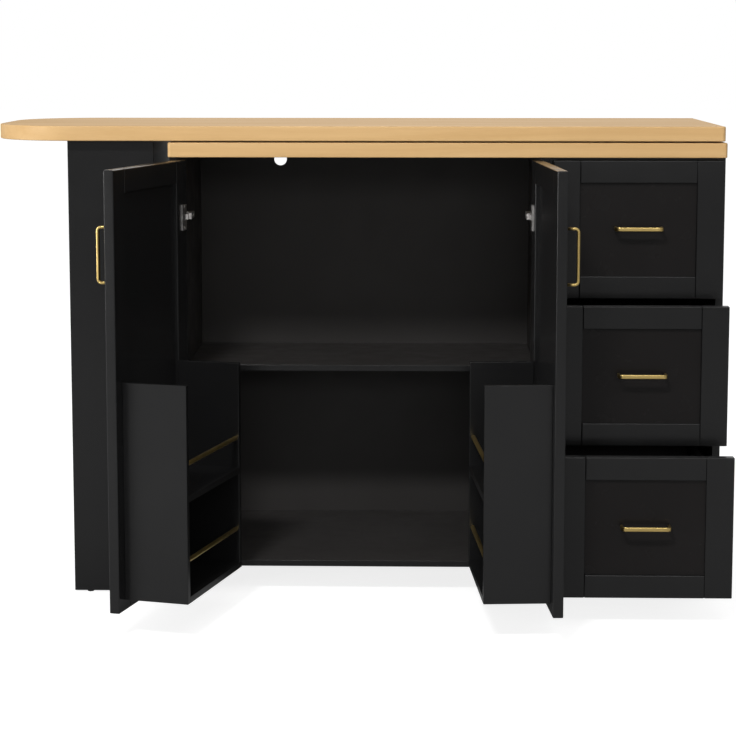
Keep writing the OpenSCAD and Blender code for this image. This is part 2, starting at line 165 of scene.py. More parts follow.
# %% [markdown]
# ## Pale wood
# Both tops are pale wood with a straight grain along their length, under a clear matt
# lacquer. Grain is growth layers cut lengthwise: long bands that wander slightly, with
# much finer fibres inside them. Two noises stretched along X make the bands and the
# fibres, and a third one lets whole zones go warmer or paler.

# %% Wood
def straight_wood(name, dark, light, sheen, rough, contrast=1.0):
    """Wood with its grain along X; contrast sets how far the bands differ."""
    material, tree, shader, place = blank(name)
    sway = noise(tree, place, 1.4, detail=1.0)
    lifted = add(tree, "ShaderNodeVectorMath", {0: place}, operation="ADD")
    shift = add(tree, "ShaderNodeCombineXYZ", {
        "Y": spread(tree, sway, -0.012, 0.012), "Z": spread(tree, sway, 0.010, -0.010)})
    tree.links.new(shift.outputs[0], lifted.inputs[1])
    grain_place = lifted.outputs[0]
    bands = noise(tree, grain_place, 1.0, detail=3.0, stretch=(0.9, 52.0, 60.0))
    fibres = noise(tree, grain_place, 1.0, stretch=(14.0, 900.0, 900.0))
    zones = noise(tree, place, 1.0, detail=1.0, stretch=(1.6, 5.0, 5.0))
    first = add(tree, "ShaderNodeMath", {
        0: spread(tree, bands, 0.5 - 0.5 * contrast, 0.5 + 0.5 * contrast),
        1: spread(tree, fibres, -0.16, 0.16)}, operation="ADD")
    factor = add(tree, "ShaderNodeMath", {
        0: first.outputs[0], 1: spread(tree, zones, -0.25, 0.25)}, operation="ADD",
        use_clamp=True)
    tint = blend_colours(tree, factor.outputs[0], dark, light)
    tree.links.new(tint, shader.inputs["Base Color"])
    tree.links.new(spread(tree, bands, rough[1], rough[0]), shader.inputs["Roughness"])
    shader.inputs["Specular IOR Level"].default_value = sheen
    relief(tree, shader, fibres, depth=0.00008, strength=0.20)
    return material


pale_wood = straight_wood(
    "lacquered_pale_wood", (0.560, 0.350, 0.152), (0.632, 0.415, 0.197), 0.13, (0.48, 0.62), 0.8)
raw_wood = straight_wood(
    "planed_timber", (0.500, 0.330, 0.170), (0.640, 0.450, 0.260), 0.20, (0.60, 0.75))
print("woods ready", pale_wood.name, raw_wood.name)

# %% [markdown]
# ## Metals and nylon
# Handles and guard bars are brushed brass under lacquer, hinges are bright nickel,
# drawer runners are zinc sheet. A brushed metal shows fine scratches along its length
# and small changes of gloss where fingers touch it. The scratches are a noise with a low
# scale along the bar and a high one across it. Zinc has the cloudy spangle of its
# crystals, which a Voronoi pattern gives. The glides and the slip disc are black nylon
# with the fine grain of its mould.

# %% Metals
def brushed_metal(name, dark, light, rough, stretch):
    """Metal with fine scratches along the axis of the lowest stretch."""
    material, tree, shader, place = blank(name)
    lines = noise(tree, place, 1.0, stretch=stretch)
    touch = noise(tree, place, 38.0, detail=3.0)
    tint = blend_colours(tree, spread(tree, lines, 0, 1), dark, light)
    tree.links.new(tint, shader.inputs["Base Color"])
    worn = add(tree, "ShaderNodeMath", {
        0: spread(tree, touch, rough[0], rough[1]),
        1: spread(tree, lines, -0.03, 0.03)}, operation="ADD")
    tree.links.new(worn.outputs[0], shader.inputs["Roughness"])
    shader.inputs["Metallic"].default_value = 1.0
    relief(tree, shader, lines, depth=0.000004, strength=0.25)
    return material


ALONG, ACROSS, EVEN = 30, 1400, 300
BRASS = (0.60, 0.43, 0.150), (0.70, 0.52, 0.200), (0.28, 0.36)
NICKEL = (0.50, 0.48, 0.47), (0.62, 0.60, 0.58), (0.30, 0.42)
gold_upright = brushed_metal("brushed_brass_upright", *BRASS, (ACROSS, ACROSS, ALONG))
gold_level = brushed_metal("brushed_brass_level", *BRASS, (ALONG, ACROSS, ACROSS))
nickel = brushed_metal("bright_nickel", *NICKEL, (EVEN, EVEN, EVEN))


def zinc_sheet():
    """Zinc whose crystals differ in colour and in gloss."""
    material, tree, shader, place = blank("zinc_sheet")
    cells = add(tree, "ShaderNodeTexVoronoi", {"Vector": place, "Scale": 160.0})
    flake = add(tree, "ShaderNodeSeparateColor", {"Color": cells.outputs["Color"]})
    tint = blend_colours(tree, flake.outputs["Red"], (0.46, 0.48, 0.50), (0.62, 0.64, 0.66))
    tree.links.new(tint, shader.inputs["Base Color"])
    gloss = spread(tree, flake.outputs["Green"], 0.32, 0.50, (0, 1))
    tree.links.new(gloss, shader.inputs["Roughness"])
    shader.inputs["Metallic"].default_value = 1.0
    relief(tree, shader, noise(tree, place, 420.0), depth=0.00004, strength=0.2)
    return material


def mould_nylon():
    """Black nylon with the fine grain of its mould."""
    material, tree, shader, place = blank("moulded_nylon")
    cloud = noise(tree, place, 60.0)
    tint = blend_colours(tree, cloud, (0.014, 0.014, 0.015), (0.026, 0.026, 0.027))
    tree.links.new(tint, shader.inputs["Base Color"])
    gloss = spread(tree, noise(tree, place, 240.0), 0.45, 0.62)
    tree.links.new(gloss, shader.inputs["Roughness"])
    relief(tree, shader, noise(tree, place, 1600.0), depth=0.00006, strength=0.3)
    return material


zinc = zinc_sheet()
nylon = mould_nylon()
print("metals and nylon ready")

# %% [markdown]
# ## Doors are made closed
# The photograph shows both doors open, and so does the frame at rest. Boards are far
# easier to draw square to the axes. Each door piece is therefore made for the closed
# door and turned about its own hinge at the end. The hinge line and the angle come from
# the frame's joints: the upper limit of each is the closed door.

# %% The turn from closed to open
def opening(side):
    """The matrix that takes a closed door to where it stands at rest."""
    joint = next(j for j in frame["joints"] if j["name"] == side + "_door_hinge")
    there = Matrix.Translation(Vector(joint["pos_m"]))
    turn = Matrix.Rotation(-math.radians(joint["range_deg"][1]), 4, Vector(joint["axis"]))
    return there @ turn @ there.inverted()


OPENING = {side: opening(side) for side in ("left", "right")}
print("doors open", {s: round(math.degrees(m.to_euler().z), 1) for s, m in OPENING.items()})

# %% [markdown]
# ## Measuring the CAD
# Each board's size is read from the frame instead of being typed again. A node may hold
# several separate solids, such as the two ends of a rack. They are told apart by walking
# along the edges from one corner to the next.

# %% Read the solids of a node
def copied(node, turn=None):
    """The node's mesh, welded, with a door's turned back to closed."""
    bm = bmesh.new()
    bm.from_mesh(frame["nodes"][node].data)
    if turn is not None:
        bm.transform(turn.inverted())
    bmesh.ops.remove_doubles(bm, verts=bm.verts, dist=1e-5)
    return bm


def solids(node, turn=None):
    """Lowest and highest corner of each separate solid, from low to high."""
    bm = copied(node, turn)
    waiting, found = set(bm.verts), []
    while waiting:
        stack = [waiting.pop()]
        group = list(stack)
        while stack:
            corner = stack.pop()
            for edge in corner.link_edges:
                other = edge.other_vert(corner)
                if other in waiting:
                    waiting.remove(other)
                    stack.append(other)
                    group.append(other)
        spans = [[v.co[k] for v in group] for k in range(3)]
        found.append((Vector(map(min, spans)), Vector(map(max, spans))))
    bm.free()
    return sorted(found, key=lambda b: (round(b[0].z, 4), round(b[0].x, 4), round(b[0].y, 4)))


for lo, hi in solids("left_rack_ends", OPENING["left"]):
    print("left rack end", [round(1000 * c, 1) for c in hi - lo], "mm")

# %% [markdown]
# ## From mesh to finished piece
# No real board has a razor edge. Sanding and paint leave a small round, and that round
# is what catches the light as a thin bright line. A Bevel modifier limited by angle
# makes it, and weighted normals let the large faces decide the shading, so flats stay
# flat even where a hole splits them. The widths of the rounds are named after the kind
# of piece. The result is kept as a plain mesh, turned if it belongs to a door, and told
# which body it rides on.

# %% Ease, keep, ride
SANDED, STOUT, SHEET, THIN, STEEL = 0.0007, 0.0009, 0.0005, 0.0004, 0.0003
EDGE_ANGLE, FLAT_ANGLE = math.radians(35), math.radians(0.5)


def settled(piece):
    """Puts what the modifiers make into the piece as its plain mesh."""
    bpy.context.view_layer.update()
    graph = bpy.context.evaluated_depsgraph_get()
    mesh = bpy.data.meshes.new_from_object(piece.evaluated_get(graph))
    piece.modifiers.clear()
    piece.data = mesh
    mesh.name = piece.name


def shown(name, mesh):
    """A mesh as an object in the scene."""
    piece = bpy.data.objects.new(name, mesh)
    scene.collection.objects.link(piece)
    return piece


def ease(piece, width, steps=2):
    """Rounds every edge that turns by more than the edge angle."""
    bevel = piece.modifiers.new("eased edges", "BEVEL")
    bevel.width = width
    bevel.segments = steps
    bevel.limit_method = "ANGLE"
    bevel.angle_limit = EDGE_ANGLE
    piece.modifiers.new("flats stay flat", "WEIGHTED_NORMAL")
    for face in piece.data.polygons:
        face.use_smooth = True


def mount(piece, body, nodes, finish, turn=None):
    """The last step of every piece: kept as it is, turned, painted and given its body."""
    settled(piece)
    if turn is not None:
        piece.data.transform(turn)
    piece.data.materials.clear()
    piece.data.materials.append(finish)
    for face in piece.data.polygons:
        face.material_index = 0
    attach(piece, body)
    if nodes:
        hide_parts(*nodes)
    return piece


def as_mesh(bm, name):
    """What was built, as a mesh of that name."""
    mesh = bpy.data.meshes.new(name)
    bm.to_mesh(mesh)
    bm.free()
    return mesh


def put_board(bm, lo, hi):
    """Adds a square board between two corners."""
    size = hi - lo
    cube = Matrix.Translation((lo + hi) / 2) @ Matrix.Diagonal((*size, 1))
    bmesh.ops.create_cube(bm, size=1, matrix=cube)


def boards(node, body, finish, width=SANDED, turn=None):
    """A node made of square boards, each with its own eased edges."""
    bm = bmesh.new()
    for lo, hi in solids(node, turn):
        put_board(bm, lo, hi)
    piece = shown(node + "_eased", as_mesh(bm, node))
    ease(piece, width)
    return mount(piece, body, [node], finish, turn)


def cover(piece, way, finish):
    """Gives the faces within 60 degrees of a direction a second finish."""
    piece.data.materials.append(finish)
    for face in piece.data.polygons:
        if face.normal.dot(way) > 0.5:
            face.material_index = 1


def softened(node, body, finish, width=SANDED, turn=None, steps=2):
    """A node with holes, curves or folds: its own shape with the edges eased."""
    bm = copied(node, turn)
    bmesh.ops.dissolve_limit(
        bm, angle_limit=FLAT_ANGLE, verts=bm.verts, edges=bm.edges)
    piece = shown(node + "_eased", as_mesh(bm, node))
    ease(piece, width, steps)
    mount(piece, body, [node], finish, turn)

# %% [markdown]
# ## The cupboard and drawer carcass
# Four uprights stand on the floor: two sides and, between the bays, two dividers back to
# back, because the unit is screwed together from two boxes. Boards, shelf and rails are
# plain boards in the inside paint, whose lighter colour is partly painted light, with their
# front edges taped in the black of the fronts. The left back panel has a hole for a cable,
# so it keeps its CAD shape and only its edges are eased.

# %% Carcass boards
CARCASS = ["left_side_panel", "left_divider_panel", "right_divider_panel",
           "right_side_panel", "bottom_board", "drawer_bay_board", "mid_shelf",
           "right_back_panel", "top_rails"]
FRONT = Vector((0, -1, 0))
# The inside paint is lighter partly as painted light; the front edges take the black of the
# fronts.
for node in CARCASS:
    cover(boards(node, "cabinet", board_coat_with_painted_light), FRONT, black_paint)
softened("left_back_panel", "cabinet", board_coat_with_painted_light, SHEET)
softened("cabinet_runners", "cabinet", zinc, STEEL)
softened("slip_disc", "cabinet", nylon, THIN)
print("carcass boards", len(CARCASS))

# %% [markdown]
# ## The two tops
# A thick top has its edges routed to a small radius, which shows in the photograph as a
# pale line along the front. The CAD shape has the plan, with its two large corners over
# the leg. A wider bevel with more steps makes the routed edge.

# %% Tops
LOWER_ROUTING, UPPER_ROUTING = 0.0018, 0.0022
softened("worktop", "cabinet", pale_wood, LOWER_ROUTING, steps=4)
softened("table_top", "table", pale_wood, UPPER_ROUTING, steps=4)
print("tops done")

# %% [markdown]
# ## The leg and the pivot
# The leg is a hollow box under the long end of the table top: a front and a back board
# with two sides between them, and cleats inside that hold the top. The pivot bolt and
# its nut hang under the other end. They are small, but they are seen when the drawers
# are out, so they get eased edges as well.

# %% Leg and pivot
for node in ("leg_front_panel", "leg_back_panel", "leg_side_panels"):
    boards(node, "table", black_paint, STOUT)
boards("leg_cleats", "table", raw_wood, 0.0010)
softened("pivot_bolt", "table", nickel, SHEET)
softened("pivot_nut", "table", nickel, SHEET)
print("leg and pivot done")

# %% [markdown]
# ## Geometry Nodes: a recipe that can be run again
# What follows a rule is written once as a tree with named inputs. The tree is run on a
# small base mesh, and its result is kept as a plain mesh. Inputs are set by the socket's
# identifier, because two sockets may share a name.

# %% Make and run a tree
def new_recipe(name, inputs):
    """A tree with a geometry in and out, and inputs given as label: (kind, value)."""
    tree = bpy.data.node_groups.new(name, "GeometryNodeTree")
    sockets = tree.interface
    sockets.new_socket("Base", in_out="INPUT", socket_type="NodeSocketGeometry")
    for label, (kind, value) in inputs.items():
        socket = sockets.new_socket(label, in_out="INPUT", socket_type="NodeSocket" + kind)
        if value is not None:
            socket.default_value = value
    sockets.new_socket("Result", in_out="OUTPUT", socket_type="NodeSocketGeometry")
    return tree, add(tree, "NodeGroupInput").outputs


def end_recipe(tree, geometry, finish):
    """Every tree ends with real geometry and its material."""
    real = add(tree, "GeometryNodeRealizeInstances", {"Geometry": geometry})
    dressed = add(tree, "GeometryNodeSetMaterial", {
        "Geometry": real.outputs[0], "Material": finish})
    add(tree, "NodeGroupOutput", {"Result": dressed.outputs[0]})


def run_recipe(tree, name, base, **values):
    """A new object with the tree on it, its inputs set before it is first evaluated."""
    piece = shown(name, base)
    modifier = piece.modifiers.new(tree.name, "NODES")
    modifier.node_group = tree
    for item in tree.interface.items_tree:
        label = item.name.lower().replace(" ", "_")
        if item.item_type == "SOCKET" and item.in_out == "INPUT" and label in values:
            modifier[item.identifier] = values[label]
    return piece


def maths(tree, operation, a, b):
    """One sum of two values or sockets."""
    return add(tree, "ShaderNodeMath", {0: a, 1: b}, operation=operation).outputs[0]


def triple(tree, x, y, z):
    """A vector from three values or sockets."""
    return add(tree, "ShaderNodeCombineXYZ", {"X": x, "Y": y, "Z": z}).outputs[0]

# %% [markdown]
# ## Framed fronts
# Doors and drawer fronts are the same thing in five sizes: two upright stiles over the
# full height, two rails between them, and a thin panel held in a groove. That is a
# rule, so one tree makes them all. The four members stay separate bodies, so the bevel
# leaves the fine V line that shows where each rail meets its stile.

# %% The recipe for a frame
framed, given = new_recipe("framed_front", {
    "Width": ("Float", 0.3), "Height": ("Float", 0.3), "Thickness": ("Float", 0.019),
    "Stile": ("Float", 0.05), "Rail": ("Float", 0.04), "Corner": ("Vector", None),
    "Finish": ("Material", None)})


def member(size, centre):
    """One bar of wood: a cube of that size moved to its middle."""
    bar = add(framed, "GeometryNodeMeshCube", {"Size": size}).outputs["Mesh"]
    return add(framed, "GeometryNodeTransform", {
        "Geometry": bar, "Translation": centre}).outputs[0]


half_t = maths(framed, "MULTIPLY", given["Thickness"], 0.5)
mid_w = maths(framed, "MULTIPLY", given["Width"], 0.5)
mid_h = maths(framed, "MULTIPLY", given["Height"], 0.5)
half_stile = maths(framed, "MULTIPLY", given["Stile"], 0.5)
half_rail = maths(framed, "MULTIPLY", given["Rail"], 0.5)
both_stiles = maths(framed, "MULTIPLY", given["Stile"], 2.0)
between = maths(framed, "SUBTRACT", given["Width"], both_stiles)
stile_size = triple(framed, given["Stile"], given["Thickness"], given["Height"])
rail_size = triple(framed, between, given["Thickness"], given["Rail"])
joined = add(framed, "GeometryNodeJoinGeometry")
for size, x, z in (
        (stile_size, half_stile, mid_h),
        (stile_size, maths(framed, "SUBTRACT", given["Width"], half_stile), mid_h),
        (rail_size, mid_w, half_rail),
        (rail_size, mid_w, maths(framed, "SUBTRACT", given["Height"], half_rail))):
    framed.links.new(member(size, triple(framed, x, half_t, z)), joined.inputs[0])
placed = add(framed, "GeometryNodeTransform", {
    "Geometry": joined.outputs[0], "Translation": given["Corner"]})
end_recipe(framed, placed.outputs[0], given["Finish"])
print("framed front recipe", len(framed.nodes), "nodes")

# %% [markdown]
# The tree is run once for each front, with the size of its CAD node. The panel behind it
# is a thin board with an eased edge that disappears in the groove. Its front is painted
# darker than the frame, partly as painted shade for the recess. The inside of a door is
# seen when it stands open, and there the panel has the same paint as its frame.

# %% Five fronts
STILE, RAIL, FRAME_ROUND = 0.051, 0.043, 0.0019
FRONTS = {"left_door": "left", "right_door": "right",
          "drawer_1": None, "drawer_2": None, "drawer_3": None}


def front(body, turn):
    """The frame and the panel of one door or drawer; gives back the size."""
    node = body + "_frame"
    (lo, hi), = solids(node, turn)
    piece = run_recipe(
        framed, node + "_members", bpy.data.meshes.new(node), width=hi.x - lo.x,
        height=hi.z - lo.z, thickness=hi.y - lo.y, stile=STILE, rail=RAIL,
        corner=lo, finish=black_paint)
    ease(piece, FRAME_ROUND, 4)
    mount(piece, body, [node], black_paint, turn)
    # The panel paint is darker partly as painted shade for the recess.
    panel = boards(body + "_panel", body, panel_coat_with_painted_shade, SHEET, turn)
    if turn is not None:
        cover(panel, turn.to_3x3() @ -FRONT, black_paint)
    return hi - lo


for body, side in FRONTS.items():
    size = front(body, OPENING.get(side))
    print(body, "front", [round(1000 * c, 1) for c in size], "mm")

# %% [markdown]
# ## Bent bars: handles and guard bars
# A bow handle is one flat bar with two bends. The natural way is a path and an outline
# swept along it: four points for the path, a fillet at its corners, and a rectangle with
# rounded corners for the bar. A curve's normals decide how the outline is turned on it;
# set to Z-up they keep it level on a level path. The round guard bars of the racks come
# from the same tree, with a straight path and a rounding of nearly half the width.

# %% The recipe for a bar
bar, given = new_recipe("bent_bar", {
    "Width": ("Float", 0.008), "Thickness": ("Float", 0.005), "Rounding": ("Float", 0.001),
    "Bend": ("Float", 0.006), "Finish": ("Material", None)})
path = add(bar, "GeometryNodeMeshToCurve", {"Mesh": given["Base"]})
bent = add(bar, "GeometryNodeFilletCurve", {
    "Curve": path.outputs[0], "Radius": given["Bend"], "Count": 14}, mode="POLY")
level = add(bar, "GeometryNodeSetCurveNormal", {"Curve": bent.outputs[0]}, mode="Z_UP")
outline = add(bar, "GeometryNodeCurvePrimitiveQuadrilateral", {
    "Width": given["Thickness"], "Height": given["Width"]})
rounded = add(bar, "GeometryNodeFilletCurve", {
    "Curve": outline.outputs[0], "Radius": given["Rounding"], "Count": 6}, mode="POLY")
swept = add(bar, "GeometryNodeCurveToMesh", {
    "Curve": level.outputs[0], "Profile Curve": rounded.outputs[0], "Fill Caps": True})
end_recipe(bar, swept.outputs[0], given["Finish"])


def path_mesh(name, paths):
    """A mesh of loose edges through the points of each path."""
    points = [p for line in paths for p in line]
    edges, start = [], 0
    for line in paths:
        edges += [(start + i, start + i + 1) for i in range(len(line) - 1)]
        start += len(line)
    mesh = bpy.data.meshes.new(name)
    mesh.from_pydata(points, edges, [])
    return mesh


def smooth_bar(piece):
    """Ends stay crisp, roundings are smooth, and the flats between them stay flat."""
    settled(piece)
    bm = bmesh.new()
    bm.from_mesh(piece.data)
    bmesh.ops.recalc_face_normals(bm, faces=bm.faces)
    for face in bm.faces:
        face.smooth = len(face.verts) == 4
    bm.to_mesh(piece.data)
    bm.free()
    piece.modifiers.new("flats stay flat", "WEIGHTED_NORMAL")
    settled(piece)

# %% [markdown]
# Each handle is read from the box of its CAD node. All are bent lying level, with the
# feet on the front's surface and the bow towards -Y. The handle of a door is then stood
# upright.

# %% Five handles
BAR_WIDTH, BAR_THICK, BAR_ROUND, BEND_OUTSIDE = 0.008, 0.005, 0.0018, 0.009


def handle(body, turn):
    """The bow handle of one front, bent level and stood upright on a door."""
    node = body.replace("_door", "_door_handle") if turn is not None else body + "_handle"
    (lo, hi), = solids(node, turn)
    size = hi - lo
    upright = size.z > size.x
    half = max(size.x, size.z) / 2 - BAR_THICK / 2
    reach = size.y - BAR_THICK / 2
    line = [(-half, 0, 0), (-half, -reach, 0), (half, -reach, 0), (half, 0, 0)]
    finish = gold_upright if upright else gold_level
    piece = run_recipe(bar, node + "_bar", path_mesh(node, [line]), width=BAR_WIDTH,
                       thickness=BAR_THICK, rounding=BAR_ROUND,
                       bend=BEND_OUTSIDE - BAR_THICK / 2, finish=finish)
    smooth_bar(piece)
    centre = Matrix.Translation(((lo.x + hi.x) / 2, hi.y, (lo.z + hi.z) / 2))
    piece.data.transform(centre @ Matrix.Rotation(math.pi / 2 if upright else 0, 4, "Y"))
    spans = [[v.co[k] for v in piece.data.vertices] for k in range(3)]
    off = [max(abs(min(s) - a), abs(max(s) - b)) for s, a, b in zip(spans, lo, hi)]
    print(node, "off its box by, mm:", [round(1000 * c, 2) for c in off])
    mount(piece, body, [node], finish, turn)


for body, side in FRONTS.items():
    handle(body, OPENING.get(side))

# %% [markdown]
# ## Door racks
# Inside each door hangs an open rack for bottles and jars: two end boards, two shelves
# and two guard bars, whose ends sit in blind holes of the end boards. The boards are
# painted like the rest.

# %% Racks
NEARLY_HALF = 0.49
for side, turn in OPENING.items():
    body = side + "_door"
    boards(side + "_rack_ends", body, black_paint, STOUT, turn)
    boards(side + "_rack_shelves", body, black_paint, 0.0006, turn)
    bars = solids(side + "_rack_bars", turn)
    lines = []
    for lo, hi in bars:
        y, z = (lo.y + hi.y) / 2, (lo.z + hi.z) / 2
        lines.append([(lo.x, y, z), (hi.x, y, z)])
    node = side + "_rack_bars"
    thick = bars[0][1].z - bars[0][0].z
    piece = run_recipe(bar, node + "_round", path_mesh(node, lines), width=thick,
                       thickness=thick, rounding=NEARLY_HALF * thick, bend=0.0,
                       finish=gold_level)
    smooth_bar(piece)
    mount(piece, body, [node], gold_level, turn)
    print(side, "rack with", len(bars), "bars")

# %% [markdown]
# ## Drawer boxes
# Behind each front is a box: three walls with a groove near the bottom that holds a thin
# sheet. The walls are one welded shape in CAD, groove included, so they are softened as
# they are. Zinc runners are screwed to both sides.

# %% Boxes and runners
# Walls and bottoms take the inside paint, which is lighter partly as painted light.
for i in (1, 2, 3):
    body = f"drawer_{i}"
    softened(body + "_walls", body, board_coat_with_painted_light)
    boards(body + "_bottom", body, board_coat_with_painted_light, THIN)
    softened(body + "_runners", body, zinc, STEEL)
print("drawer boxes done")

# %% [markdown]
# ## Hinges
# A concealed hinge has a cup pressed into the door and an arm on a plate in the cabinet.
# Both are stamped and plated steel with soft edges. The pin joins them inside the cup.

# %% Hinges
softened("hinge_arms", "cabinet", nickel, 0.0006, steps=3)
for side, turn in OPENING.items():
    softened(side + "_hinge_cups", side + "_door", nickel, THIN, turn)
    softened(side + "_hinge_pins", side + "_door", nickel, STEEL, turn)
print("hinges done")

# %% [markdown]
# ## Small parts that repeat
# Screws, shelf pins and glides are each one small turned part set in several places.
# The part is turned on a lathe in code: a profile spun about an axis. A tree then sets
# a copy on every point of a base mesh, faces it along the point's own direction and
# gives each a random turn from a fixed seed, as a hand would leave screws.

# %% A lathe, and a screw head with its cross
HEAD_SIDES = 24


def turned_part(name, profile, steps):
    """Spins (radius, height) points about Z and closes both ends."""
    bm = bmesh.new()
    corners = [bm.verts.new((r, 0, z)) for r, z in profile]
    for a, b in zip(corners, corners[1:]):
        bm.edges.new((a, b))
    bmesh.ops.spin(bm, geom=bm.verts[:] + bm.edges[:], axis=(0, 0, 1), cent=(0, 0, 0),
                   angle=math.tau, steps=steps, use_duplicate=False)
    bmesh.ops.remove_doubles(bm, verts=bm.verts, dist=1e-6)
    bmesh.ops.recalc_face_normals(bm, faces=bm.faces)
    return as_mesh(bm, name)


def screw_head(name, radius, height, sunk):
    """A low pan head. Its cross is cut as a plus-shaped pit in the top."""
    arm, width, top, shoulder = radius * 0.62, radius * 0.17, radius * 0.86, height * 0.55
    plus = [(width, width), (width, arm), (-width, arm), (-width, width), (-arm, width),
            (-arm, -width), (-width, -width), (-width, -arm), (width, -arm),
            (width, -width), (arm, -width), (arm, width)]
    bm = bmesh.new()
    rim = [[bm.verts.new((r * math.cos(a), r * math.sin(a), z))
            for a in (math.tau * k / HEAD_SIDES for k in range(HEAD_SIDES))]
           for r, z in ((radius, 0), (radius, shoulder), (top, height))]
    for low, high in zip(rim, rim[1:]):
        for k in range(HEAD_SIDES):
            bm.faces.new((low[k - 1], low[k], high[k], high[k - 1]))
    bm.faces.new(rim[0][::-1])
    pit = [[bm.verts.new((x, y, z)) for x, y in plus] for z in (height, height - sunk)]
    edges = [bm.edges.new((pit[0][k - 1], pit[0][k])) for k in range(len(plus))]
    edges += [bm.edges.get((rim[2][k - 1], rim[2][k])) for k in range(HEAD_SIDES)]
    bmesh.ops.triangle_fill(bm, use_beauty=True, edges=edges, normal=(0, 0, 1))
    for k in range(len(plus)):
        bm.faces.new((pit[0][k - 1], pit[0][k], pit[1][k], pit[1][k - 1]))
    bm.faces.new(pit[1])
    bmesh.ops.recalc_face_normals(bm, faces=bm.faces)
    return as_mesh(bm, name)


print("lathe ready")

# %% The recipe that sets a part in place
setting, given = new_recipe("set_in_place", {
    "Part": ("Object", None), "Seed": ("Int", 7), "Finish": ("Material", None)})
facing = add(setting, "GeometryNodeInputNamedAttribute", {"Name": "facing"},
             data_type="FLOAT_VECTOR")
aligned = add(setting, "FunctionNodeAlignRotationToVector", {
    "Vector": facing.outputs["Attribute"]}, axis="Z")
chance = add(setting, "FunctionNodeRandomValue", {"Seed": given["Seed"]}, data_type="FLOAT")
chance.inputs[3].default_value = math.tau
spun = add(setting, "FunctionNodeAxisAngleToRotation", {
    "Axis": (0, 0, 1), "Angle": chance.outputs[1]})
turned = add(setting, "FunctionNodeRotateRotation", {
    "Rotation": aligned.outputs[0], "Rotate By": spun.outputs[0]}, rotation_space="LOCAL")
part = add(setting, "GeometryNodeObjectInfo", {"Object": given["Part"]})
copies = add(setting, "GeometryNodeInstanceOnPoints", {
    "Points": given["Base"], "Instance": part.outputs["Geometry"],
    "Rotation": turned.outputs[0]})
end_recipe(setting, copies.outputs[0], given["Finish"])


def set_parts(name, part_mesh, places, body, nodes, finish, seed, turn=None):
    """One part on every (point, direction); the pattern object is removed afterwards."""
    pattern = shown(name + "_pattern", part_mesh)
    base = bpy.data.meshes.new(name)
    base.from_pydata([tuple(point) for point, way in places], [], [])
    ways = base.attributes.new("facing", "FLOAT_VECTOR", "POINT")
    for item, (point, way) in zip(ways.data, places):
        item.vector = way
    piece = run_recipe(setting, name, base, part=pattern, seed=seed, finish=finish)
    settled(piece)
    bpy.data.objects.remove(pattern)
    for face in piece.data.polygons:
        face.use_smooth = False
    mount(piece, body, nodes, finish, turn)
    print(name, len(places), "parts,", len(piece.data.polygons), "faces")

# %% [markdown]
# Glides are low nylon buttons under every board end. Shelf pins are short steel rods
# with a rounded nose. The plate screws sit on the hinge plates. Their places all come
# from the solids of the CAD nodes, and the screws face away from the panel.

# %% Set the glides, pins and screws
def middle(box):
    """The middle between two corners."""
    return (box[0] + box[1]) / 2


DOWN, RIGHT, LEFT = (0, 0, -1), (1, 0, 0), (-1, 0, 0)
glide_shape = [
    (0, 0), (0.0065, 0), (0.0065, 0.0018), (0.0060, 0.0026), (0.0050, 0.0030), (0, 0.0030)]
for node, body in (("cabinet_glides", "cabinet"), ("leg_glides", "table")):
    spots = [(Vector((*middle(b).xy, b[1].z)), DOWN) for b in solids(node)]
    set_parts(node + "_turned", turned_part(node, glide_shape, steps=24), spots, body,
              [node], nylon, seed=3)

pin_boxes = solids("shelf_pins")
pin_size = pin_boxes[0][1] - pin_boxes[0][0]
pin_len, pin_r, nose_len, nose_r = pin_size.x, pin_size.z / 2, 0.001, 0.35 * pin_size.z
pin_shape = [(0, 0), (pin_r, 0), (pin_r, pin_len - nose_len), (nose_r, pin_len), (0, pin_len)]
bay_middle = sum(middle(b).x for b in pin_boxes) / len(pin_boxes)
pin_spots = []
for lo, hi in pin_boxes:
    inward = middle((lo, hi)).x < bay_middle
    start = Vector((lo.x if inward else hi.x, *middle((lo, hi)).yz))
    pin_spots.append((start, RIGHT if inward else LEFT))
set_parts("shelf_pins_turned", turned_part("shelf_pin", pin_shape, steps=20), pin_spots,
          "cabinet", ["shelf_pins"], nickel, seed=5)

PLATE_HEAD_R, PLATE_HEAD_H, PLATE_SUNK = 0.0038, 0.0018, 0.0010
screw_spots = []
for lo, hi in solids("hinge_screws"):
    inward = middle((lo, hi)).x < bay_middle
    base_x = hi.x - PLATE_HEAD_H if inward else lo.x + PLATE_HEAD_H
    screw_spots.append((Vector((base_x, *middle((lo, hi)).yz)), RIGHT if inward else LEFT))
plate_head = screw_head("plate_screw", PLATE_HEAD_R, PLATE_HEAD_H, PLATE_SUNK)
set_parts("hinge_screw_heads", plate_head, screw_spots, "cabinet",
          ["hinge_screws"], nickel, seed=11)

# %% [markdown]
# Two more kinds of screw show on a hinge: the pair that holds the cup's flange to the
# door, and the pair on the arm that adjusts the door. They have no node of their own, so
# their places are measured from the cup and the arm.

# %% Cup screws and adjusting screws
CUP_HEAD_R, ARM_HEAD_R, LOW_HEAD_H, LOW_SUNK = 0.0028, 0.0030, 0.0005, 0.0003
FLANGE_INSET, FLANGE_OFFSET, ARM_SETBACKS = 0.0045, 0.0015, (0.016, 0.034)

for side, turn in OPENING.items():
    spots = []
    for lo, hi in solids(side + "_hinge_cups", turn):
        x = middle((lo, hi)).x + (FLANGE_OFFSET if side == "left" else -FLANGE_OFFSET)
        for z in (lo.z + FLANGE_INSET, hi.z - FLANGE_INSET):
            spots.append((Vector((x, hi.y, z)), (0, 1, 0)))
    cup_head = screw_head(side + "_cup_screw", CUP_HEAD_R, LOW_HEAD_H, LOW_SUNK)
    set_parts(side + "_cup_screws", cup_head, spots, side + "_door",
              [], nickel, seed=13, turn=turn)

